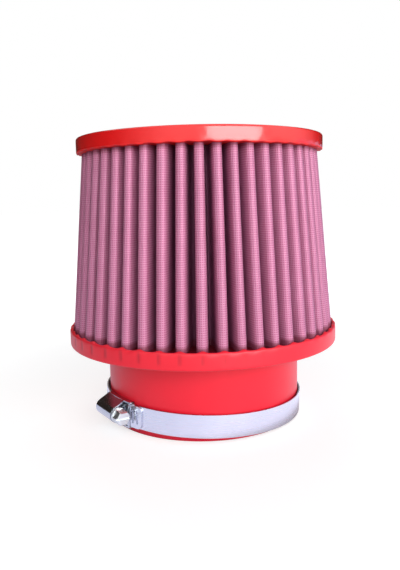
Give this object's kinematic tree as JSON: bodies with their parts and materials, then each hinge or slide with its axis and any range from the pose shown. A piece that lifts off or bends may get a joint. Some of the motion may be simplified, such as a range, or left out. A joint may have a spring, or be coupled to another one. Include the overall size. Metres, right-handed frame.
{
  "type": "performance air filter",
  "caption": "Round tapered intake air filter: pleated cotton between wire screens, moulded closed cap and flanged neck, with a loose worm-drive hose clamp on the neck.",
  "frame": {"origin": "centre of the neck's open end, on the surface that the filter stands on", "axes": "+Z along the filter's axis from the neck to the closed cap, -Y towards the viewer of the picture"},
  "size_m": [0.151, 0.151, 0.154],
  "materials": {
    "cap_polyurethane": "glossy moulded",
    "base_polyurethane": "satin moulded",
    "screen_wire": "woven, pink through the gaps",
    "cotton_gauze": "oiled gauze",
    "band_steel": "bright rolled",
    "plated_steel": "bright plated"
  },
  "bodies": {
    "filter": {"top_cap": "cap_polyurethane", "outer_screen": "screen_wire", "cotton_media": "cotton_gauze", "inner_screen": "screen_wire", "base_neck": "base_polyurethane", "clamp_band": "band_steel", "clamp_housing": "plated_steel"},
    "worm_screw": {"clamp_screw": "plated_steel"}
  },
  "joints": [
    {"name": "worm_screw_turn", "type": "hinge", "parent": "filter", "child": "worm_screw", "pos_m": [-0.05029, -0.03466, 0.01049], "axis": [0.5706, -0.8209, -0.0239], "continuous": true}
  ]
}
